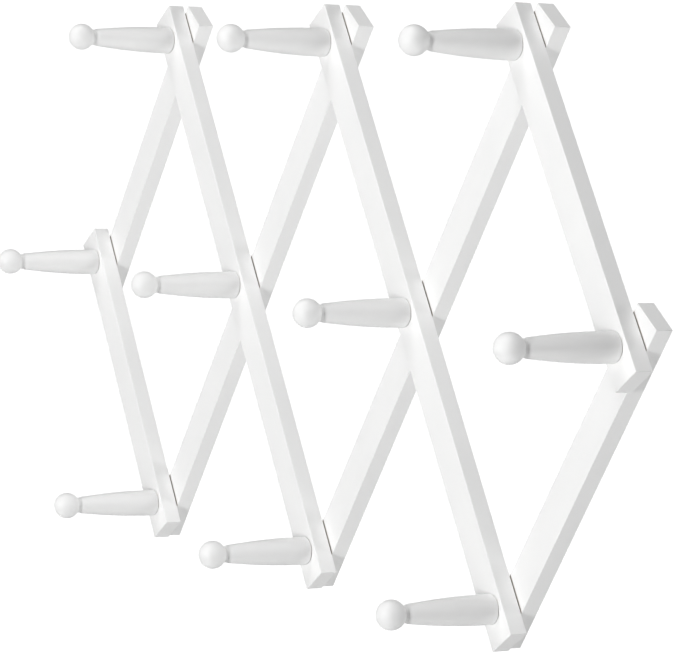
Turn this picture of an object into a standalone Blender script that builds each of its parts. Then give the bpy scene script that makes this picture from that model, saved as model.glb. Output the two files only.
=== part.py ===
"""Accordion peg rack: a lazy-tongs lattice of painted wooden slats with a turned peg at every crossing.

Metres, with +Z up. The wall is the plane y = 0 and the pegs point to -Y. The origin lies on the wall face
of the long left back slat, midway between its upper and its middle pivot. Every other slat hangs on a
pivot of an earlier one, so the whole lattice opens and closes with the one angle SLAT_LEAN.
"""

import math

import bmesh
import bpy
from mathutils import Matrix, Vector
from mathutils.geometry import interpolate_bezier

# Lattice
PIVOT_SPACING = 0.214
SLAT_LEAN = math.radians(35)

# Slats
SLAT_WIDTH = 0.0254
SLAT_THICKNESS = 0.012
SLAT_END_LENGTH = 0.0235
SLAT_EDGE_RADIUS = 0.0008
LAYER_GAP = 0.0008

# Pegs, turned in one piece with their tenons
BALL_DIAMETER = 0.0192
NECK_DIAMETER = 0.0120
FOOT_DIAMETER = 0.0195
FOOT_EDGE_RADIUS = 0.0010
BALL_CENTRE_REACH = 0.072
TENON_DIAMETER = 0.0095
TENON_CHAMFER = 0.0004

# Washers and pan-head screws at the back
WASHER_DIAMETER = 0.0140
WASHER_THICKNESS = 0.0010
SCREW_DIAMETER = 0.0034
SCREW_GRIP = 0.0130
SCREW_POINT_LENGTH = 0.0030
HEAD_DIAMETER = 0.0070
HEAD_RIM_HEIGHT = 0.0009
HEAD_HEIGHT = 0.0021

# Clearances
SEAT_GAP = 0.0003
GLUE_GAP = 0.0002
RUNNING_CLEARANCE = 0.0003
WASHER_PLAY = 0.0004
WASHER_SIDE_CLEARANCE = 0.0010
HEAD_SUNK_BELOW_WALL_FACE = 0.0004
PILOT_SPARE_DEPTH = 0.0020
CUT_OVERRUN = 0.0020

# Places that follow from the sizes above, as heights over the wall face along a pivot's axis
LAYER_PITCH = SLAT_THICKNESS + LAYER_GAP
FRONT_FACE = LAYER_PITCH + SLAT_THICKNESS
COUNTERBORE_DEPTH = WASHER_PLAY + WASHER_THICKNESS + SEAT_GAP + HEAD_HEIGHT + HEAD_SUNK_BELOW_WALL_FACE
COUNTERBORE_DIAMETER = WASHER_DIAMETER + 2 * WASHER_SIDE_CLEARANCE
WASHER_FRONT = COUNTERBORE_DEPTH - WASHER_PLAY
HEAD_SEAT = WASHER_FRONT - WASHER_THICKNESS - SEAT_GAP
TENON_END = WASHER_FRONT + SEAT_GAP
SCREW_HOLE_DIAMETER = SCREW_DIAMETER + 2 * RUNNING_CLEARANCE
PILOT_END = HEAD_SEAT + SCREW_GRIP + PILOT_SPARE_DEPTH

# Shape of the shaft: Bezier handles between neck and foot, as shares of its length and of its swelling
NECK_HANDLE_SHARES = (0.15, 0.13)
FOOT_HANDLE_SHARES = (0.55, 0.00)
PILOT_CONE_SHARE = 0.6

# Facets
PEG_SIDES = 20
BALL_STEPS = 7
SHAFT_STEPS = 6
WASHER_SIDES = 16
SCREW_SIDES = 12
BORE_SIDES = 20
EDGE_STEPS = 2
MERGE_DISTANCE = 0.00001

# Colours: linear RGB, roughness, metallic
WHITE_PAINT = ((0.86, 0.86, 0.85, 1.0), 0.38, 0.0)
ZINC_PLATE = ((0.58, 0.58, 0.60, 1.0), 0.32, 1.0)

# Each slat: its layer, what stands at its pivots from the top down, which of those pivots it hangs on,
# and the slat and the pivot there that carry it. The first slat is held by the wall.
SLATS = {
    "back_slat_left_long": ("back", ("top_middle", "middle_left", "bottom_left"), 1, None, None),
    "front_slat_left_long": (
        "front", ("top_left", "middle_left", "bottom_middle"), 1, "back_slat_left_long", 1),
    "front_slat_right_long": (
        "front", ("top_middle", "middle_right", "bottom_right"), 0, "back_slat_left_long", 0),
    "front_slat_left_short": (
        "front", ("middle_far_left", "bottom_left"), 1, "back_slat_left_long", 2),
    "back_slat_left_short": (
        "back", ("top_left", "middle_far_left"), 0, "front_slat_left_long", 0),
    "back_slat_right_long": (
        "back", ("top_right", "middle_right", "bottom_middle"), 2, "front_slat_left_long", 2),
    "back_slat_right_short": (
        "back", ("middle_far_right", "bottom_right"), 1, "front_slat_right_long", 2),
    "front_slat_right_short": (
        "front", ("top_right", "middle_far_right"), 0, "back_slat_right_long", 0),
}


def clear_scene():
    """Removes what a new file starts with."""
    for obj in list(bpy.data.objects):
        bpy.data.objects.remove(obj, do_unlink=True)


def new_collection(name):
    collection = bpy.data.collections.new(name)
    bpy.context.scene.collection.children.link(collection)
    return collection


def new_object(name, data, collection, parent=None, location=(0, 0, 0)):
    obj = bpy.data.objects.new(name, data)
    collection.objects.link(obj)
    obj.parent = parent
    obj.location = location
    return obj


def finish(obj, surface):
    """Gives the object a Principled material of its own."""
    colour, roughness, metallic = surface
    material = bpy.data.materials.new(f"{obj.name}_finish")
    material.use_nodes = True
    principled = material.node_tree.nodes["Principled BSDF"]
    principled.inputs["Base Color"].default_value = colour
    principled.inputs["Roughness"].default_value = roughness
    principled.inputs["Metallic"].default_value = metallic
    material.diffuse_color = colour
    obj.data.materials.append(material)


def arc(centre_r, centre_z, radius, start, end, steps):
    """Profile points on an arc. Angles are measured from the axis direction towards the outside."""
    angles = [start + (end - start) * step / steps for step in range(steps + 1)]
    return [(centre_r + radius * math.sin(a), centre_z + radius * math.cos(a)) for a in angles]


def turned(name, profile, sides, collection, parent, location):
    """A turned piece: the (radius, height) profile, run from its tip down the outside, swept once round."""
    mesh = bpy.data.meshes.new(name)
    points = [(radius, 0.0, height) for radius, height in profile]
    mesh.from_pydata(points, [(i, i + 1) for i in range(len(points) - 1)], [])
    obj = new_object(name, mesh, collection, parent, location)
    obj.rotation_euler.x = math.radians(90)
    screw = obj.modifiers.new("Turn", "SCREW")
    screw.axis = "Z"
    screw.steps = sides
    screw.render_steps = sides
    screw.use_merge_vertices = True
    screw.merge_threshold = MERGE_DISTANCE
    screw.use_smooth_shade = True
    return obj


def shaft_profile(neck_z, foot_z):
    """The swelling shaft between the neck and the foot, without its two end points."""
    swelling = (FOOT_DIAMETER - NECK_DIAMETER) / 2
    length = neck_z - foot_z
    neck = Vector((NECK_DIAMETER / 2, neck_z, 0))
    foot = Vector((FOOT_DIAMETER / 2, foot_z, 0))
    neck_along, neck_out = NECK_HANDLE_SHARES
    foot_along, foot_in = FOOT_HANDLE_SHARES
    neck_handle = neck + Vector((neck_out * swelling, -neck_along * length, 0))
    foot_handle = foot + Vector((-foot_in * swelling, foot_along * length, 0))
    curve = interpolate_bezier(neck, neck_handle, foot_handle, foot, SHAFT_STEPS + 1)
    return [(point.x, point.y) for point in curve[1:-1]]


def peg_profile():
    """Ball end, neck, shaft, foot, and the tenon with the pilot hole for the screw in its end.

    Heights are measured from the front slat's face, outwards."""
    ball_radius = BALL_DIAMETER / 2
    neck_turn = math.pi - math.asin(NECK_DIAMETER / BALL_DIAMETER)
    neck_z = BALL_CENTRE_REACH + ball_radius * math.cos(neck_turn)
    foot_radius = FOOT_DIAMETER / 2
    foot_edge_z = SEAT_GAP + FOOT_EDGE_RADIUS
    tenon_radius = TENON_DIAMETER / 2
    tenon_z = TENON_END - FRONT_FACE
    pilot_radius = SCREW_HOLE_DIAMETER / 2
    pilot_z = PILOT_END - FRONT_FACE
    ball = arc(0.0, BALL_CENTRE_REACH, ball_radius, 0.0, neck_turn, BALL_STEPS)
    foot_edge = arc(
        foot_radius - FOOT_EDGE_RADIUS, foot_edge_z, FOOT_EDGE_RADIUS, math.pi / 2, math.pi, EDGE_STEPS)
    tenon = [
        (tenon_radius, SEAT_GAP),
        (tenon_radius, tenon_z + TENON_CHAMFER),
        (tenon_radius - TENON_CHAMFER, tenon_z),
    ]
    pilot = [
        (pilot_radius, tenon_z),
        (pilot_radius, pilot_z),
        (0.0, pilot_z + PILOT_CONE_SHARE * pilot_radius),
    ]
    return ball + shaft_profile(neck_z, foot_edge_z) + foot_edge + tenon + pilot


def washer_profile():
    """A flat ring, measured from its front face; the profile is closed."""
    outside = WASHER_DIAMETER / 2
    inside = SCREW_HOLE_DIAMETER / 2
    ring = [(inside, 0.0), (outside, 0.0), (outside, -WASHER_THICKNESS), (inside, -WASHER_THICKNESS)]
    return ring + ring[:1]


def screw_profile():
    """Shank and domed pan head, measured from the underside of the head, outwards along the shank."""
    shank = SCREW_DIAMETER / 2
    head = HEAD_DIAMETER / 2
    dome_height = HEAD_HEIGHT - HEAD_RIM_HEIGHT
    dome_radius = (head**2 + dome_height**2) / (2 * dome_height)
    dome_turn = math.asin(head / dome_radius)
    dome_centre = -HEAD_HEIGHT + dome_radius
    dome = arc(0.0, dome_centre, dome_radius, math.pi - dome_turn, math.pi, EDGE_STEPS)
    dome[-1] = (0.0, -HEAD_HEIGHT)
    point = [(0.0, SCREW_GRIP), (shank, SCREW_GRIP - SCREW_POINT_LENGTH), (shank, 0.0), (head, 0.0)]
    return point + dome


def cut_holes(bar, name, holes, diameter, bottom, top, cutters):
    """Cuts one round hole at each pivot of a slat, from height bottom to height top over its back face."""
    mesh = bmesh.new()
    upright = Matrix.Rotation(math.radians(90), 4, "X")
    for z in holes:
        place = Matrix.Translation((0, -(bottom + top) / 2, z)) @ upright
        bmesh.ops.create_cone(
            mesh, cap_ends=True, segments=BORE_SIDES, radius1=diameter / 2, radius2=diameter / 2,
            depth=top - bottom, matrix=place)
    data = bpy.data.meshes.new(name)
    mesh.to_mesh(data)
    mesh.free()
    cutter = new_object(f"{bar.name}_{name}", data, cutters, bar)
    cutter.hide_render = True
    cutter.display_type = "WIRE"
    cut = bar.modifiers.new(name, "BOOLEAN")
    cut.object = cutter


def hole_heights(count, own):
    """Where a slat's pivots lie along it, from the top down, measured from the pivot it hangs on."""
    return [(own - index) * PIVOT_SPACING for index in range(count)]


def slat(name, holes, parts, parent, location):
    """A square-ended bar with eased edges. Its origin is on its back face, at the pivot it hangs on."""
    length = holes[0] - holes[-1] + 2 * SLAT_END_LENGTH
    middle = (holes[0] + holes[-1]) / 2
    mesh = bmesh.new()
    place = Matrix.Translation((0, -SLAT_THICKNESS / 2, middle))
    size = Matrix.Diagonal((SLAT_WIDTH, SLAT_THICKNESS, length, 1))
    bmesh.ops.create_cube(mesh, size=1, matrix=place @ size)
    data = bpy.data.meshes.new(name)
    mesh.to_mesh(data)
    mesh.free()
    bar = new_object(name, data, parts, parent, location)
    eased = bar.modifiers.new("Eased edges", "BEVEL")
    eased.width = SLAT_EDGE_RADIUS
    eased.segments = EDGE_STEPS
    finish(bar, WHITE_PAINT)
    return bar


def cut_front_slat(bar, holes, cutters):
    """Bores that the tenons are glued into."""
    bore = TENON_DIAMETER + 2 * GLUE_GAP
    cut_holes(bar, "bores", holes, bore, -CUT_OVERRUN, SLAT_THICKNESS + CUT_OVERRUN, cutters)


def cut_back_slat(bar, holes, cutters):
    """Bores that run on the tenons, and counterbores that sink the washers and screw heads."""
    bore = TENON_DIAMETER + 2 * RUNNING_CLEARANCE
    cut_holes(bar, "bores", holes, bore, -CUT_OVERRUN, SLAT_THICKNESS + CUT_OVERRUN, cutters)
    cut_holes(bar, "counterbores", holes, COUNTERBORE_DIAMETER, -CUT_OVERRUN, COUNTERBORE_DEPTH, cutters)


def pivot(place, bar, z, parts):
    """Peg, washer and screw of one crossing, all carried by the front slat."""
    def along_axis(height):
        return (0, LAYER_PITCH - height, z)

    peg = turned(f"peg_{place}", peg_profile(), PEG_SIDES, parts, bar, along_axis(FRONT_FACE))
    finish(peg, WHITE_PAINT)
    washer = turned(
        f"pivot_washer_{place}", washer_profile(), WASHER_SIDES, parts, bar, along_axis(WASHER_FRONT))
    finish(washer, ZINC_PLATE)
    screw = turned(
        f"pivot_screw_{place}", screw_profile(), SCREW_SIDES, parts, bar, along_axis(HEAD_SEAT))
    finish(screw, ZINC_PLATE)


def build_rack():
    clear_scene()
    parts = new_collection("accordion_peg_rack")
    cutters = new_collection("cutters")
    wall_face = new_object("wall_face", None, parts)
    wall_face.rotation_euler.y = SLAT_LEAN
    bars = {}
    for name, (layer, places, own, carrier, carrier_hole) in SLATS.items():
        holes = hole_heights(len(places), own)
        if carrier is None:
            bar = slat(name, holes, parts, wall_face, (0, 0, -PIVOT_SPACING / 2))
        else:
            outwards = -1 if layer == "front" else 1
            carrier_places, carrier_own = SLATS[carrier][1:3]
            carrier_z = hole_heights(len(carrier_places), carrier_own)[carrier_hole]
            bar = slat(name, holes, parts, bars[carrier], (0, outwards * LAYER_PITCH, carrier_z))
            bar.rotation_euler.y = outwards * 2 * SLAT_LEAN
        bars[name] = bar
        if layer == "back":
            cut_back_slat(bar, holes, cutters)
            continue
        cut_front_slat(bar, holes, cutters)
        for place, z in zip(places, holes):
            pivot(place, bar, z, parts)


build_rack()
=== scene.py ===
"""Accordion peg rack, dressed: eight painted slats in two layers, and a turned peg, a washer and a screw
at every crossing. Metres, with +Z up, the wall at y = 0 and the pegs pointing to -Y."""
import math

import bmesh
import bpy
from mathutils import Matrix, Vector
from mathutils.geometry import interpolate_bezier


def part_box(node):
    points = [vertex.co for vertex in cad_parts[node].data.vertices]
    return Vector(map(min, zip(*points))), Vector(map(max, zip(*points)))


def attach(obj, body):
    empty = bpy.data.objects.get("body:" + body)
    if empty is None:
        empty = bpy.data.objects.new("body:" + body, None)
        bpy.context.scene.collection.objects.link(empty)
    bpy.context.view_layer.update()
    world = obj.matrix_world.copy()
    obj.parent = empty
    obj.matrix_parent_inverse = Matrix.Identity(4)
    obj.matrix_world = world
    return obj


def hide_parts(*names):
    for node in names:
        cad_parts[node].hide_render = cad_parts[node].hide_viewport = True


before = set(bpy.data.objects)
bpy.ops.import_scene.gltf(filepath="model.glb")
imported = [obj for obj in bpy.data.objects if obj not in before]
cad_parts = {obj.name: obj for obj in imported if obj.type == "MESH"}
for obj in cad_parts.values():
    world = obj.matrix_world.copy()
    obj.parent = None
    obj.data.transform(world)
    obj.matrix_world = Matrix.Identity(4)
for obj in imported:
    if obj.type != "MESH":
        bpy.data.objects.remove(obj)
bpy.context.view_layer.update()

# Camera: a long lens from the rack's right-hand end, a little above its middle and rolled slightly,
# as the photograph was taken. It aims at the middle of the lattice.
camera_azimuth = math.radians(61.06)
camera_elevation = math.radians(4.44)
camera_roll = math.radians(2.20)
camera_distance = 2.151
camera_aim = Vector((0.0527, 0.0, -0.1087))
camera_far_limit = 60.0
focal_length_mm = 164.1
sensor_width_mm = 36.0

camera_turn = (
    Matrix.Rotation(camera_azimuth, 4, "Z")
    @ Matrix.Rotation(math.radians(90) - camera_elevation, 4, "X")
    @ Matrix.Rotation(camera_roll, 4, "Z")
)
camera_data = bpy.data.cameras.new("camera")
camera_data.lens = focal_length_mm
camera_data.sensor_width = sensor_width_mm
camera_data.clip_end = camera_far_limit
camera = bpy.data.objects.new("camera", camera_data)
camera.matrix_world = (
    Matrix.Translation(camera_aim) @ camera_turn @ Matrix.Translation((0, 0, camera_distance)))
bpy.context.scene.collection.objects.link(camera)
bpy.context.scene.camera = camera
bpy.context.scene.view_settings.view_transform = "Standard"

# Studio: a room that lights the rack only dimly and is seen as white, a large soft light in front of the
# rack and to its right, a larger one high above it, a small one behind its right-hand end, and a pale floor
# well below it.
white = (1.0, 1.0, 1.0, 1.0)
room_light = 0.038
room_seen = 1.1
lattice_middle = Vector((0.10, 0.0, -0.10))
front_light_place = Vector((2.95, -6.50, -0.10))
front_light_size = 1.3
front_light_power = 265.0
top_light_place = Vector((0.00, -1.50, 4.70))
top_light_size = 2.4
top_light_power = 158.0
back_light_place = Vector((0.70, 1.50, 0.00))
back_light_aim = Vector((0.40, 0.0, 0.0))
back_light_size = 0.8
back_light_power = 15.5
floor_height = -1.35
floor_half_width = 30.0
floor_colour = (0.93, 0.93, 0.93, 1.0)
floor_roughness = 0.9
floor_glow_below = 0.0
floor_glow_far = 0.56
floor_seen = 0.55
floor_glow_starts = 2.0
floor_glow_full = 5.0


def new_node(tree, kind, **values):
    """A node with its settings, and with its inputs where a name ends in _: Scale_ sets the input Scale."""
    node = tree.nodes.new(kind)
    for name, value in values.items():
        if name.endswith("_"):
            node.inputs[name[:-1].replace("_", " ")].default_value = value
        else:
            setattr(node, name, value)
    return node


def blank_material(name):
    """A new material, the tree that its pattern is built in, and the inputs of its shader."""
    material = bpy.data.materials.new(name)
    material.use_nodes = True
    tree = material.node_tree
    return material, tree, tree.nodes["Principled BSDF"].inputs


def soft_light(name, place, aim, size, power):
    """A square soft box that faces its aim and doesn't show itself."""
    data = bpy.data.lights.new(name, "AREA")
    data.shape = "SQUARE"
    data.size = size
    data.energy = power
    light = bpy.data.objects.new(name, data)
    facing = (place - aim).to_track_quat("Z", "Y").to_matrix().to_4x4()
    light.matrix_world = Matrix.Translation(place) @ facing
    light.visible_camera = False
    bpy.context.scene.collection.objects.link(light)


room = bpy.data.worlds.new("white_room")
room.use_nodes = True
room_tree = room.node_tree
lit = room_tree.nodes["Background"]
lit.inputs["Color"].default_value = white
lit.inputs["Strength"].default_value = room_light
seen = new_node(room_tree, "ShaderNodeBackground", Color_=white, Strength_=room_seen)
ray = new_node(room_tree, "ShaderNodeLightPath")
choice = new_node(room_tree, "ShaderNodeMixShader")
room_tree.links.new(ray.outputs["Is Camera Ray"], choice.inputs[0])
room_tree.links.new(lit.outputs[0], choice.inputs[1])
room_tree.links.new(seen.outputs[0], choice.inputs[2])
room_tree.links.new(choice.outputs[0], room_tree.nodes["World Output"].inputs[0])
bpy.context.scene.world = room

soft_light("front_light", front_light_place, lattice_middle, front_light_size, front_light_power)
soft_light("top_light", top_light_place, lattice_middle, top_light_size, top_light_power)
soft_light("back_light", back_light_place, back_light_aim, back_light_size, back_light_power)

floor_shape = bmesh.new()
bmesh.ops.create_grid(
    floor_shape, x_segments=1, y_segments=1, size=floor_half_width,
    matrix=Matrix.Translation((0, 0, floor_height)))
floor_mesh = bpy.data.meshes.new("floor")
floor_shape.to_mesh(floor_mesh)
floor_shape.free()
floor = bpy.data.objects.new("floor", floor_mesh)
bpy.context.scene.collection.objects.link(floor)

# Only the floor's far parts glow onto the rack. The camera sees all of it glow, so that it looks white.
floor_material, floor_tree, floor_inputs = blank_material("pale_floor")
floor_inputs["Base Color"].default_value = floor_colour
floor_inputs["Roughness"].default_value = floor_roughness
floor_inputs["Emission Color"].default_value = white
floor_place = new_node(floor_tree, "ShaderNodeTexCoord")
floor_reach = new_node(floor_tree, "ShaderNodeVectorMath", operation="LENGTH")
floor_glow = new_node(
    floor_tree, "ShaderNodeMapRange", interpolation_type="SMOOTHSTEP", From_Min_=floor_glow_starts,
    From_Max_=floor_glow_full, To_Min_=floor_glow_below, To_Max_=floor_glow_far)
floor_ray = new_node(floor_tree, "ShaderNodeLightPath")
floor_strength = new_node(floor_tree, "ShaderNodeMath", operation="MULTIPLY_ADD")
floor_strength.inputs[1].default_value = floor_seen
floor_tree.links.new(floor_place.outputs["Object"], floor_reach.inputs[0])
floor_tree.links.new(floor_reach.outputs["Value"], floor_glow.inputs["Value"])
floor_tree.links.new(floor_ray.outputs["Is Camera Ray"], floor_strength.inputs[0])
floor_tree.links.new(floor_glow.outputs["Result"], floor_strength.inputs[2])
floor_tree.links.new(floor_strength.outputs[0], floor_inputs["Emission Strength"])
floor_mesh.materials.append(floor_material)

# Front slats. Each is a bar of planed hardwood, 25 by 12 mm, cut square at its ends, eased along every edge
# and sprayed satin white. The pegs' tenons are glued into its bores.
slat_width = 0.0254
slat_end_length = 0.0235
arris_radius = 0.0005
arris_segments = 4
bore_radius = 0.00495
bore_rim_ease = 0.0003
bore_sides = 64
cell_margin = 0.002
flat_facing = 0.9999
weld_distance = 0.000002
smooth_below = math.radians(32)

paint_tone = (0.885, 0.885, 0.880, 1.0)
paint_tone_deep = (0.866, 0.867, 0.864, 1.0)
paint_tone_end = (0.855, 0.855, 0.850, 1.0)
bore_tone = (0.80, 0.775, 0.72, 1.0)
# Painted shade for the gap between the two layers: a bare-wood brown on the front slats' backs and a dark
# painted shadow line on the back slats' fronts.
bare_wood_gap_shade_tone = (0.56, 0.46, 0.36, 1.0)
painted_gap_shadow_tone = (0.42, 0.40, 0.37, 1.0)
painted_gap_shadow_width = 0.0018
painted_gap_shadow_wander_size = 0.003
gap_shade_edge_blur = 0.0002

wave_period = 0.314
pith_offset = Vector((0.048, 0.031, 0.0))
log_stretch = (1, 1, 0.06)
growth_ring_spacing = 0.0026
growth_ring_wander = 3.0
growth_ring_wander_scale = 0.35
growth_ring_relief = 0.000014
fibre_stretch = (1, 1, 0.02)
fibre_size = 0.0011
fibre_relief = 0.000014
cloud_stretch = (1, 1, 0.4)
cloud_size = 0.021
spray_size = 0.0013
spray_relief = 0.000005
end_pore_size = 0.0005
end_grain_relief = 0.000018
end_grain_depth = 0.0012
end_grain_dulling = 0.12
satin_roughness = (0.50, 0.60)
bore_speck_size = 0.0012
bore_fuzz_size = 0.0004
bore_roughness = (0.50, 0.75)
smooth_detail = 1.0
plain_detail = 2.0
fine_detail = 3.0
finest_detail = 4.0
noise_low = 0.3
noise_high = 0.7

front_slats = {
    "front_left_long": ("top_left", "middle_left", "bottom_middle"),
    "front_right_long": ("top_middle", "middle_right", "bottom_right"),
    "front_left_short": ("middle_far_left", "bottom_left"),
    "front_right_short": ("top_right", "middle_far_right"),
}


def slat_node(body):
    """The CAD node of a slat: body front_left_long carries node front_slat_left_long."""
    layer, rest = body.split("_", 1)
    return f"{layer}_slat_{rest}"


def pivot_point(place):
    """Where the axis of a pivot meets the wall."""
    low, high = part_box(f"peg_{place}")
    return Vector(((low.x + high.x) / 2, 0.0, (low.z + high.z) / 2))


def along_piece(tree, centre, turn):
    """Object coordinates moved to the piece's middle and turned so that its length is Z."""
    place = new_node(
        tree, "ShaderNodeMapping", vector_type="TEXTURE", Location_=centre, Rotation_=(0, turn, 0))
    tree.links.new(new_node(tree, "ShaderNodeTexCoord").outputs["Object"], place.inputs["Vector"])
    return place.outputs["Vector"]


def stretched(tree, vector, scale, shift=(0, 0, 0)):
    """The same coordinates squeezed or stretched by axis."""
    place = new_node(tree, "ShaderNodeMapping", Scale_=scale, Location_=shift)
    tree.links.new(vector, place.inputs["Vector"])
    return place.outputs["Vector"]


def noise(tree, vector, size, detail=plain_detail, seed=0.0):
    """Soft random pattern whose blotches are about size metres across."""
    pattern = new_node(
        tree, "ShaderNodeTexNoise", noise_dimensions="4D", W_=seed, Scale_=1 / size, Detail_=detail)
    tree.links.new(vector, pattern.inputs["Vector"])
    return pattern.outputs["Fac"]


def rings(tree, vector, axis, spacing, wander, detail, wander_scale):
    """Rings round an axis, which wander a little."""
    wave = new_node(
        tree, "ShaderNodeTexWave", wave_type="RINGS", rings_direction=axis, Scale_=wave_period / spacing,
        Distortion_=wander, Detail_=detail, Detail_Scale_=wander_scale)
    tree.links.new(vector, wave.inputs["Vector"])
    return wave.outputs["Fac"]


def between(tree, value, low, high, start=noise_low, end=noise_high):
    """The pattern's range from start to end, spread from low to high."""
    spread = new_node(
        tree, "ShaderNodeMapRange", From_Min_=start, From_Max_=end, To_Min_=low, To_Max_=high)
    tree.links.new(value, spread.inputs["Value"])
    return spread.outputs["Result"]


def mixed(tree, share, first, second):
    """Two colours mixed by a pattern. Either may be a colour or another mix."""
    mix = new_node(tree, "ShaderNodeMix", data_type="RGBA")
    tree.links.new(share, mix.inputs[0])
    for socket, colour in ((mix.inputs[6], first), (mix.inputs[7], second)):
        if isinstance(colour, tuple):
            socket.default_value = colour
        else:
            tree.links.new(colour, socket)
    return mix.outputs[2]


def raised(tree, height, depth, under=None):
    """Relief of a real depth, laid over another relief."""
    bump = new_node(tree, "ShaderNodeBump", Strength_=1.0, Distance_=depth)
    tree.links.new(height, bump.inputs["Height"])
    if under is not None:
        tree.links.new(under, bump.inputs["Normal"])
    return bump.outputs["Normal"]


def arithmetic(tree, operation, first, second=0.0):
    """One sum on a pattern. The second term may be a number or another pattern."""
    sum_node = new_node(tree, "ShaderNodeMath", operation=operation)
    tree.links.new(first, sum_node.inputs[0])
    if isinstance(second, float):
        sum_node.inputs[1].default_value = second
    else:
        tree.links.new(second, sum_node.inputs[1])
    return sum_node.outputs[0]


def off_crossing(tree, bar, lean, heights):
    """How far a point of the bar is from the middle line of the nearest slat that crosses it. The crossing
    slats are evenly spaced and lean as far the other way."""
    turn = -2 * lean
    across = new_node(tree, "ShaderNodeVectorMath", operation="DOT_PRODUCT")
    across.inputs[1].default_value = (math.cos(turn), 0, -math.sin(turn))
    tree.links.new(bar, across.inputs[0])
    from_first = arithmetic(tree, "ADD", across.outputs["Value"], heights[0] * math.sin(turn))
    return arithmetic(tree, "PINGPONG", from_first, abs((heights[0] - heights[1]) * math.sin(turn)) / 2)


def bare_joint_and_painted_gap_shade(tree, bar, face_tone, y, thickness, lean, heights, faces_back, seed):
    """Painted shade between the layers. A front slat's back face is coloured as bare wood where the crossing
    slats cover it, which also darkens the shade in the gap, and a back slat's front face gets a thin painted
    shadow line that dies away under the edge of the slat in front."""
    blur = gap_shade_edge_blur
    face = thickness / 2
    edge = slat_width / 2
    distance = off_crossing(tree, bar, lean, heights)
    under = between(tree, distance, 1.0, 0.0, edge - blur, edge)
    # Front slat: its back face is coloured as bare wood where a crossing slat covers it, which darkens the
    # shade in the gap.
    if faces_back:
        facing = between(tree, y, 0.0, 1.0, face - blur, face - blur / 2)
        return mixed(tree, arithmetic(tree, "MULTIPLY", under, facing), face_tone, bare_wood_gap_shade_tone)
    facing = between(tree, y, 1.0, 0.0, blur / 2 - face, blur - face)
    # Back slat: a ragged painted shadow line just under the edge of the slat in front.
    wander = between(
        tree, noise(tree, bar, painted_gap_shadow_wander_size, plain_detail, seed), 0.0, painted_gap_shadow_width / 2)
    ragged = arithmetic(tree, "ADD", distance, wander)
    line = between(tree, ragged, 0.0, 1.0, edge - painted_gap_shadow_width, edge - painted_gap_shadow_width / 2)
    under = arithmetic(tree, "MULTIPLY", under, line)
    return mixed(tree, arithmetic(tree, "MULTIPLY", under, facing), face_tone, painted_gap_shadow_tone)


def painted_bar(name, centre, lean, length, thickness, heights, faces_back, seed):
    """Satin white paint over planed wood: growth rings and fibres stand through it along the bar, and the
    thirsty end grain stays duller and rougher."""
    material, tree, inputs = blank_material(name)
    bar = along_piece(tree, centre, lean)
    year_rings = rings(
        tree, stretched(tree, bar, log_stretch, pith_offset), "Z", growth_ring_spacing, growth_ring_wander,
        plain_detail, growth_ring_wander_scale)
    fibres = noise(tree, stretched(tree, bar, fibre_stretch), fibre_size, fine_detail, seed)
    clouds = noise(tree, stretched(tree, bar, cloud_stretch), cloud_size, plain_detail, seed)
    spray = noise(tree, bar, spray_size, smooth_detail, seed)
    pores = noise(tree, bar, end_pore_size, plain_detail, seed)

    split = new_node(tree, "ShaderNodeSeparateXYZ")
    tree.links.new(bar, split.inputs[0])
    from_middle = arithmetic(tree, "ABSOLUTE", split.outputs["Z"])
    at_end = between(
        tree, from_middle, 0.0, 1.0, length / 2 - end_grain_depth, length / 2 - end_grain_depth / 2)

    face_tone = mixed(tree, between(tree, clouds, 0.0, 1.0), paint_tone, paint_tone_deep)
    # Painted shade in the gap where the layers face each other.
    face_tone = bare_joint_and_painted_gap_shade(
        tree, bar, face_tone, split.outputs["Y"], thickness, lean, heights, faces_back, seed)
    tree.links.new(mixed(tree, at_end, face_tone, paint_tone_end), inputs["Base Color"])
    dulling = between(tree, at_end, 0.0, end_grain_dulling, 0.0, 1.0)
    gloss = arithmetic(tree, "ADD", between(tree, fibres, *satin_roughness), dulling)
    tree.links.new(gloss, inputs["Roughness"])
    pitted = arithmetic(tree, "MULTIPLY", pores, at_end)
    relief = raised(tree, year_rings, growth_ring_relief)
    relief = raised(tree, fibres, fibre_relief, relief)
    relief = raised(tree, spray, spray_relief, relief)
    relief = raised(tree, pitted, end_grain_relief, relief)
    tree.links.new(relief, inputs["Normal"])
    return material


def dusted_bore():
    """The wall of a drilled hole: bare wood that only the edge of the spray has reached."""
    material, tree, inputs = blank_material("dusted_bore")
    here = new_node(tree, "ShaderNodeTexCoord").outputs["Object"]
    specks = noise(tree, here, bore_speck_size, finest_detail)
    tone = mixed(tree, between(tree, specks, 0.0, 1.0), paint_tone_deep, bore_tone)
    tree.links.new(tone, inputs["Base Color"])
    tree.links.new(between(tree, specks, *bore_roughness), inputs["Roughness"])
    fuzz = noise(tree, here, bore_fuzz_size, fine_detail)
    tree.links.new(raised(tree, fuzz, end_grain_relief), inputs["Normal"])
    return material


def turned(shape, profile, centre, sides):
    """Spins a profile of (radius, y) points once round the line through centre that runs along Y."""
    points = [shape.verts.new((centre.x + radius, y, centre.z)) for radius, y in profile]
    edges = [shape.edges.new(pair) for pair in zip(points, points[1:])]
    bmesh.ops.spin(
        shape, geom=points + edges, cent=centre, axis=(0, 1, 0), angle=math.tau, steps=sides, use_merge=True)


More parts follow.
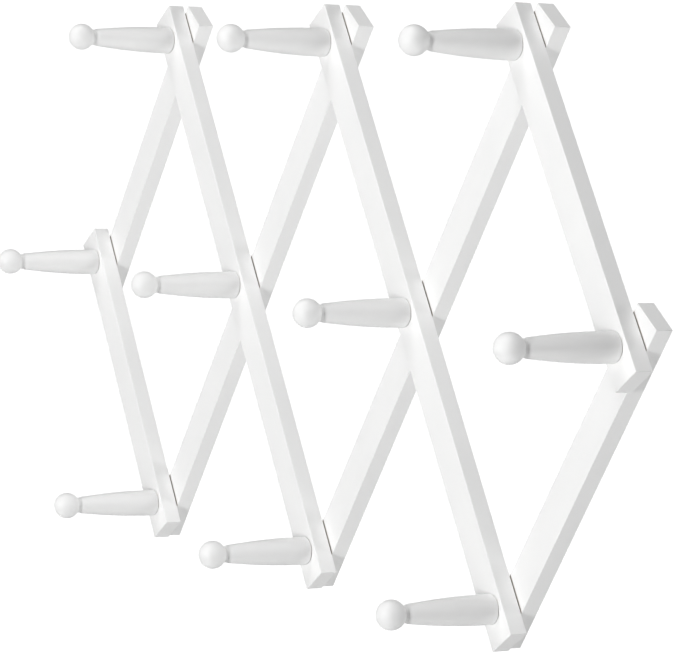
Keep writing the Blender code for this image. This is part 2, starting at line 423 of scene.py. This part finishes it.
def planed_bar(length, thickness, heights):
    """A square-ended bar along Z with eased edges, scored across on both sides of each bore to come."""
    bar = bmesh.new()
    bmesh.ops.create_cube(bar, size=1, matrix=Matrix.Diagonal((slat_width, thickness, length, 1)))
    bmesh.ops.bevel(
        bar, geom=bar.edges[:], offset=arris_radius, segments=arris_segments, profile=0.5, affect="EDGES",
        material=-1)
    reach = slat_width / 2 - cell_margin
    for height in heights:
        for score in (height - reach, height + reach):
            bmesh.ops.bisect_plane(
                bar, geom=bar.verts[:] + bar.edges[:] + bar.faces[:], plane_co=(0, 0, score),
                plane_no=(0, 0, 1))
    return bar


def bored(bar, height, profile):
    """Opens the bar's front and back at a pivot and lines the hole with a turned wall."""
    bar.normal_update()
    bar.faces.ensure_lookup_table()
    faces = [
        face for face in bar.faces
        if abs(face.normal.y) > flat_facing and abs(face.calc_center_median().z - height) < cell_margin]
    cells = [(list(face.edges), face.calc_center_median().y) for face in faces]
    bmesh.ops.delete(bar, geom=faces, context="FACES_ONLY")
    before = set(bar.faces)
    turned(bar, profile, Vector((0, 0, height)), bore_sides)
    for face in set(bar.faces) - before:
        face.material_index = 1
    reach = slat_width / 2 - cell_margin
    for edges, y in cells:
        mouth = Vector((0, y, height))
        rim = [
            edge for edge in bar.edges
            if edge.is_boundary and edge not in edges
            and all(
                abs(vert.co.y - y) < weld_distance and (vert.co - mouth).length < reach
                for vert in edge.verts)]
        bmesh.ops.triangle_fill(bar, use_beauty=True, edges=edges + rim)


def plain_bore(thickness):
    """A bore's wall from front to back, with the edge taken off both mouths."""
    mouth = bore_radius + bore_rim_ease
    front = -thickness / 2
    back = thickness / 2
    return [
        (mouth, front),
        (bore_radius, front + bore_rim_ease),
        (bore_radius, back - bore_rim_ease),
        (mouth, back),
    ]


def finished(shape, name, materials):
    """The mesh as an object, with flat faces kept flat and eased edges smooth."""
    bmesh.ops.remove_doubles(shape, verts=shape.verts[:], dist=weld_distance)
    bmesh.ops.recalc_face_normals(shape, faces=shape.faces[:])
    mesh = bpy.data.meshes.new(name)
    shape.to_mesh(mesh)
    shape.free()
    for material in materials:
        mesh.materials.append(material)
    mesh.shade_smooth()
    mesh.set_sharp_from_angle(angle=smooth_below)
    piece = bpy.data.objects.new(name, mesh)
    bpy.context.scene.collection.objects.link(piece)
    even = piece.modifiers.new("flat_faces_stay_flat", "WEIGHTED_NORMAL")
    even.keep_sharp = True
    return piece


def slat(body, places, profile_for, seed):
    """One slat in its place, standing for its CAD node."""
    node = slat_node(body)
    low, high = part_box(node)
    top = pivot_point(places[0])
    bottom = pivot_point(places[-1])
    centre = (top + bottom) / 2 + Vector((0, (low.y + high.y) / 2, 0))
    lean = math.atan2(top.x - bottom.x, top.z - bottom.z)
    length = (top - bottom).length + 2 * slat_end_length
    thickness = high.y - low.y
    heights = [(pivot_point(place) - bottom).length - (top - bottom).length / 2 for place in places]
    bar = planed_bar(length, thickness, heights)
    for height in heights:
        bored(bar, height, profile_for(thickness))
    where = Matrix.Translation(centre) @ Matrix.Rotation(lean, 4, "Y")
    bmesh.ops.transform(bar, matrix=where, verts=bar.verts[:])
    faces_back = body.startswith("front")
    paint = painted_bar(f"paint_{body}", centre, lean, length, thickness, heights, faces_back, seed)
    piece = finished(bar, f"white_{node}", [paint, bore_finish])
    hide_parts(node)
    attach(piece, body)


bore_finish = dusted_bore()
for number, (body, places) in enumerate(front_slats.items()):
    slat(body, places, plain_bore, float(number))

# Back slats. The same bars, behind the front ones and leaning the other way. Their bores run freely on the
# tenons, and a counterbore from behind sinks each washer and screw head below the wall face.
running_radius = 0.00505
counterbore_radius = 0.0080
counterbore_depth = 0.0042

back_slats = {
    "back_left_long": ("top_middle", "middle_left", "bottom_left"),
    "back_right_long": ("top_right", "middle_right", "bottom_middle"),
    "back_left_short": ("top_left", "middle_far_left"),
    "back_right_short": ("middle_far_right", "bottom_right"),
}


def stepped_bore(thickness):
    """A running bore from the front, opening into a flat-bottomed counterbore at the back."""
    front = -thickness / 2
    back = thickness / 2
    floor_y = back - counterbore_depth
    return [
        (running_radius + bore_rim_ease, front),
        (running_radius, front + bore_rim_ease),
        (running_radius, floor_y),
        (counterbore_radius, floor_y),
        (counterbore_radius, back - bore_rim_ease),
        (counterbore_radius + bore_rim_ease, back),
    ]


for number, (body, places) in enumerate(back_slats.items()):
    slat(body, places, stepped_bore, float(number + len(front_slats)))

# Pegs. Each is turned from one piece of beech: a ball end on a thin neck, a shaft that swells to the foot,
# and a tenon that passes through both slats. It is painted as far as the foot; the tenon stays bare.
ball_radius = 0.0096
ball_centre_reach = 0.072
neck_radius = 0.0060
collar_radius = 0.0057
collar_length = 0.0014
quirk_radius = 0.0053
quirk_length = 0.0005
shaft_rise_length = 0.0028
shaft_rise_lean = 0.00025
foot_radius = 0.00975
foot_edge_radius = 0.0010
foot_lift = 0.0003
tenon_radius = 0.00475
tenon_length = 0.0207
tenon_chamfer = 0.0004
pilot_radius = 0.0020
pilot_depth = 0.0134
pilot_cone_depth = 0.0012
neck_handle_shares = (0.15, 0.13)
foot_handle_shares = (0.55, 0.00)
peg_sides = 96
ball_steps = 28
shaft_steps = 26
quirk_steps = 5
shaft_rise_steps = 8
foot_edge_steps = 6

peg_cloud_size = 0.017
peg_fibre_stretch = (1, 0.03, 1)
peg_fibre_size = 0.0012
tool_mark_stretch = (0.01, 1, 0.01)
tool_mark_size = 0.0009
turning_relief = 0.000006
peg_roughness = (0.48, 0.58)
beech_pale = (0.66, 0.47, 0.30, 1.0)
beech_deep = (0.55, 0.36, 0.21, 1.0)
fleck_stretch = (1, 0.12, 1)
fleck_size = 0.0008
beech_roughness = (0.55, 0.75)

pivots = [(place, body) for body, places in front_slats.items() for place in places]


def arc(radius_centre, height_centre, radius, start, end, steps):
    """Points on an arc, with angles measured from the tip's direction towards the outside."""
    angles = [start + (end - start) * step / steps for step in range(steps + 1)]
    return [
        (radius_centre + radius * math.sin(angle), height_centre + radius * math.cos(angle))
        for angle in angles]


def curved(first, first_handle, last_handle, last, steps):
    """Points on a Bezier curve between two profile points, without the first and the last."""
    corners = [Vector((*corner, 0)) for corner in (first, first_handle, last_handle, last)]
    return [(point.x, point.y) for point in interpolate_bezier(*corners, steps + 1)[1:-1]]


def peg_profile():
    """Ball, collar, quirk, shaft and foot, then tenon and pilot hole, as (radius, height over the slat).

    The skew chisel leaves a short collar behind the ball and a fine quirk where the shaft begins."""
    neck_height = ball_centre_reach - math.sqrt(ball_radius ** 2 - neck_radius ** 2)
    foot_height = foot_lift + foot_edge_radius
    swelling = foot_radius - neck_radius
    length = neck_height - foot_height
    ball_ends = math.pi - math.asin(collar_radius / ball_radius)
    ball = arc(0.0, ball_centre_reach, ball_radius, 0.0, ball_ends, ball_steps)
    collar_height = ball[-1][1] - collar_length
    quirk_height = collar_height - quirk_length
    quirk = curved(
        (collar_radius, collar_height),
        (collar_radius, quirk_height),
        (quirk_radius, collar_height),
        (quirk_radius, quirk_height),
        quirk_steps)
    shaft = curved(
        (neck_radius, neck_height),
        (neck_radius + neck_handle_shares[1] * swelling, neck_height - neck_handle_shares[0] * length),
        (foot_radius - foot_handle_shares[1] * swelling, foot_height + foot_handle_shares[0] * length),
        (foot_radius, foot_height),
        shaft_steps)
    shaft = [point for point in shaft if point[1] < quirk_height - shaft_rise_length]
    rise = curved(
        (quirk_radius, quirk_height),
        (quirk_radius + shaft_rise_lean, quirk_height - quirk_length),
        (2 * shaft[0][0] - shaft[1][0], 2 * shaft[0][1] - shaft[1][1]),
        shaft[0],
        shaft_rise_steps)
    foot = arc(
        foot_radius - foot_edge_radius, foot_height, foot_edge_radius, math.pi / 2, math.pi, foot_edge_steps)
    tenon = [
        (tenon_radius, foot_lift),
        (tenon_radius, tenon_chamfer - tenon_length),
        (tenon_radius - tenon_chamfer, -tenon_length),
        (pilot_radius, -tenon_length),
        (pilot_radius, pilot_depth - tenon_length),
        (0.0, pilot_depth + pilot_cone_depth - tenon_length),
    ]
    tip = (0.0, ball_centre_reach + ball_radius)
    collar_end = (collar_radius, collar_height)
    quirk_end = (quirk_radius, quirk_height)
    return [tip, *ball[1:], collar_end, *quirk, quirk_end, *rise, *shaft, *foot, *tenon]


def painted_turning():
    """Satin white paint over a turned surface: faint rings from the tool, and the wood's fibres along it."""
    material, tree, inputs = blank_material("paint_peg")
    here = new_node(tree, "ShaderNodeTexCoord").outputs["Object"]
    clouds = noise(tree, here, peg_cloud_size)
    fibres = noise(tree, stretched(tree, here, peg_fibre_stretch), peg_fibre_size, fine_detail)
    tool_marks = noise(tree, stretched(tree, here, tool_mark_stretch), tool_mark_size)
    spray = noise(tree, here, spray_size, smooth_detail)
    tone = mixed(tree, between(tree, clouds, 0.0, 1.0), paint_tone, paint_tone_deep)
    tree.links.new(tone, inputs["Base Color"])
    tree.links.new(between(tree, fibres, *peg_roughness), inputs["Roughness"])
    relief = raised(tree, fibres, fibre_relief)
    relief = raised(tree, tool_marks, turning_relief, relief)
    relief = raised(tree, spray, spray_relief, relief)
    tree.links.new(relief, inputs["Normal"])
    return material


def bare_beech():
    """Turned beech without paint, with its short dark flecks along the grain."""
    material, tree, inputs = blank_material("bare_beech")
    here = new_node(tree, "ShaderNodeTexCoord").outputs["Object"]
    flecks = noise(tree, stretched(tree, here, fleck_stretch), fleck_size, fine_detail)
    tone = mixed(tree, between(tree, flecks, 0.0, 1.0), beech_pale, beech_deep)
    tree.links.new(tone, inputs["Base Color"])
    tree.links.new(between(tree, flecks, *beech_roughness), inputs["Roughness"])
    tree.links.new(raised(tree, flecks, fibre_relief), inputs["Normal"])
    return material


peg_paint = painted_turning()
tenon_wood = bare_beech()
front_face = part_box(slat_node("front_left_long"))[0].y
bare_from = front_face - foot_lift - weld_distance
peg_line = [(radius, front_face - height) for radius, height in peg_profile()]
for place, body in pivots:
    peg = bmesh.new()
    turned(peg, peg_line, pivot_point(place), peg_sides)
    for face in peg.faces:
        if face.calc_center_median().y > bare_from:
            face.material_index = 1
    piece = finished(peg, f"white_peg_{place}", [peg_paint, tenon_wood])
    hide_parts(f"peg_{place}")
    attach(piece, body)

# Washers. A flat ring stamped from bright zinc-plated strip sits in each counterbore, over the tenon's end.
# The punch leaves its front edges rounded and its back edges crisp.
washer_sides = 96
washer_outer_radius = 0.0070
washer_inner_radius = 0.0020
punched_edge_radius = 0.00025
crisp_edge_radius = 0.00006
punched_edge_steps = 4

zinc_blue = (0.60, 0.63, 0.68, 1.0)
zinc_straw = (0.68, 0.66, 0.60, 1.0)
zinc_hue_size = 0.0035
zinc_mark_size = 0.0003
zinc_roughness = (0.22, 0.42)
spun_ring_spacing = 0.0004
spun_ring_wander = 1.5
spun_ring_wander_scale = 2.0
plating_relief = 0.000002


def zinc_plate(name, centre):
    """Bright zinc: bluish and straw-coloured by turns, with hair-fine marks round the piece's axis."""
    material, tree, inputs = blank_material(name)
    here = along_piece(tree, centre, 0.0)
    hues = noise(tree, here, zinc_hue_size, fine_detail)
    marks = noise(tree, here, zinc_mark_size, finest_detail)
    spun_rings = rings(
        tree, here, "Y", spun_ring_spacing, spun_ring_wander, fine_detail, spun_ring_wander_scale)
    inputs["Metallic"].default_value = 1.0
    tone = mixed(tree, between(tree, hues, 0.0, 1.0), zinc_blue, zinc_straw)
    tree.links.new(tone, inputs["Base Color"])
    tree.links.new(between(tree, marks, *zinc_roughness), inputs["Roughness"])
    relief = raised(tree, spun_rings, plating_relief)
    relief = raised(tree, marks, plating_relief, relief)
    tree.links.new(relief, inputs["Normal"])
    return material


def washer_profile(front, back):
    """One side of the ring, from its inner front edge round the outside and back, as (radius, y)."""
    punched = arc(
        washer_outer_radius - punched_edge_radius, 0.0, punched_edge_radius, 0.0, math.pi / 2,
        punched_edge_steps)
    outside = [(radius, front + punched_edge_radius - height) for radius, height in punched]
    return [
        (washer_inner_radius, front + crisp_edge_radius),
        (washer_inner_radius + crisp_edge_radius, front),
        *outside,
        (washer_outer_radius, back - crisp_edge_radius),
        (washer_outer_radius - crisp_edge_radius, back),
        (washer_inner_radius + crisp_edge_radius, back),
        (washer_inner_radius, back - crisp_edge_radius),
        (washer_inner_radius, front + crisp_edge_radius),
    ]


for place, body in pivots:
    low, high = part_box(f"pivot_washer_{place}")
    centre = pivot_point(place)
    washer = bmesh.new()
    turned(washer, washer_profile(low.y, high.y), centre, washer_sides)
    piece = finished(washer, f"zinc_washer_{place}", [zinc_plate(f"zinc_washer_{place}", centre)])
    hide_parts(f"pivot_washer_{place}")
    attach(piece, body)

# Screws. A pan-head wood screw with a cross recess holds each washer and peg together through both slats.
# It is cold-headed from wire, thread-rolled and zinc-plated.
head_radius = 0.0035
head_height = 0.0021
head_rim_height = 0.0009
head_flat_radius = 0.0021
head_shoulder_drop_share = 0.35
head_shoulder_width_share = 0.5
head_shoulder_steps = 8
screw_sides = 48
recess_arms = 4
recess_arm_length = 0.00165
recess_arm_half_width = 0.00042
recess_depth = 0.0013
recess_taper = 0.55
recess_edge_radius = 0.00006
recess_edge_segments = 2
thread_pitch = 0.00125
thread_core_radius = 0.00115
thread_crest_radius = 0.0017
thread_start = 0.0012
thread_crest_share = 0.08
thread_flank_share = 0.3
point_length = 0.0030
tip_radius_share = 0.12
head_overlap = 0.0002
plain_turns = 3
spare_turns = 2


def pan_head(shape, centre, back):
    """The domed head with its flat top towards the wall, and the cross sunk into it."""
    seat_y = back - head_height
    rim_y = seat_y + head_rim_height
    shoulder = curved(
        (head_radius, rim_y),
        (head_radius, back - head_shoulder_drop_share * (head_height - head_rim_height)),
        (head_shoulder_width_share * (head_radius + head_flat_radius), back),
        (head_flat_radius, back),
        head_shoulder_steps)
    flat_edge = (head_flat_radius, back)
    profile = [(0.0, seat_y), (head_radius, seat_y), (head_radius, rim_y), *shoulder, flat_edge]
    turned(shape, profile, centre, screw_sides)
    bmesh.ops.remove_doubles(shape, verts=shape.verts[:], dist=weld_distance)
    flat_rim = [edge for edge in shape.edges if edge.is_boundary]

    reach = recess_arm_length
    half = recess_arm_half_width
    middle = centre + Vector((0, back, 0))
    corners = []
    for arm in range(recess_arms):
        turn = Matrix.Rotation(math.tau / recess_arms * arm, 3, "Y")
        for x, z in ((half, reach), (half, half), (reach, half)):
            corners.append(shape.verts.new(middle + turn @ Vector((x, 0, z))))
    mouth = [shape.edges.new((corners[i - 1], corners[i])) for i in range(len(corners))]
    bmesh.ops.triangle_fill(shape, use_beauty=True, edges=flat_rim + mouth)
    sunk = bmesh.ops.extrude_edge_only(shape, edges=mouth)
    sunk_corners = [item for item in sunk["geom"] if isinstance(item, bmesh.types.BMVert)]
    bmesh.ops.scale(
        shape, vec=(recess_taper, 1, recess_taper), space=Matrix.Translation(-middle), verts=sunk_corners)
    bmesh.ops.translate(shape, vec=(0, -recess_depth, 0), verts=sunk_corners)
    sunk_edges = [item for item in sunk["geom"] if isinstance(item, bmesh.types.BMEdge)]
    bmesh.ops.contextual_create(shape, geom=[edge for edge in sunk_edges if edge.is_boundary])
    bmesh.ops.bevel(
        shape, geom=mouth, offset=recess_edge_radius, segments=recess_edge_segments, profile=0.5,
        affect="EDGES", material=-1)


def rolled_thread(shape, centre, seat, tip):
    """The shank and its thread. One side of the ridges is spun once round while it moves on by a pitch, so
    that each turn ends where the next one starts. It is then pared to the point and cut flat at both ends."""
    start = seat - thread_start
    turns = math.ceil((start - tip) / thread_pitch) + spare_turns
    ridge = [
        (thread_core_radius, 0.0),
        (thread_crest_radius, thread_flank_share),
        (thread_crest_radius, thread_flank_share + thread_crest_share),
        (thread_core_radius, 2 * thread_flank_share + thread_crest_share),
    ]
    profile = [(thread_core_radius, start + turn * thread_pitch) for turn in range(plain_turns, 0, -1)]
    for turn in range(turns):
        profile += [(radius, start - (turn + share) * thread_pitch) for radius, share in ridge]
    profile.append((thread_core_radius, start - turns * thread_pitch))
    thread = bmesh.new()
    points = [thread.verts.new((radius, y, 0)) for radius, y in profile]
    edges = [thread.edges.new(pair) for pair in zip(points, points[1:])]
    bmesh.ops.spin(
        thread, geom=points + edges, cent=(0, 0, 0), axis=(0, 1, 0), dvec=(0, -thread_pitch / screw_sides, 0),
        angle=math.tau, steps=screw_sides, use_merge=False)
    bmesh.ops.remove_doubles(thread, verts=thread.verts[:], dist=weld_distance)

    # The ridge grows out of the shank over its first turn and shrinks with the point over its last ones.
    for vert in thread.verts:
        radius = math.hypot(vert.co.x, vert.co.z)
        grown = min(1.0, max(0.0, (start - vert.co.y) / thread_pitch))
        left = min(1.0, max(tip_radius_share, (vert.co.y - tip) / point_length))
        wanted = (thread_core_radius + (radius - thread_core_radius) * grown) * left
        vert.co.x *= wanted / radius
        vert.co.z *= wanted / radius

    for cut_y, outwards in ((seat + head_overlap, 1), (tip, -1)):
        bmesh.ops.bisect_plane(
            thread, geom=thread.verts[:] + thread.edges[:] + thread.faces[:], plane_co=(0, cut_y, 0),
            plane_no=(0, outwards, 0), clear_outer=True)
    rims = [edge for edge in thread.edges if edge.is_boundary]
    bmesh.ops.holes_fill(thread, edges=rims, sides=0)
    bmesh.ops.translate(thread, vec=centre, verts=thread.verts[:])
    made = bpy.data.meshes.new("thread")
    thread.to_mesh(made)
    thread.free()
    shape.from_mesh(made)
    bpy.data.meshes.remove(made)


for place, body in pivots:
    low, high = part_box(f"pivot_screw_{place}")
    centre = pivot_point(place)
    screw = bmesh.new()
    pan_head(screw, centre, high.y)
    rolled_thread(screw, centre, high.y - head_height, low.y)
    piece = finished(screw, f"zinc_screw_{place}", [zinc_plate(f"zinc_screw_{place}", centre)])
    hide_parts(f"pivot_screw_{place}")
    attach(piece, body)
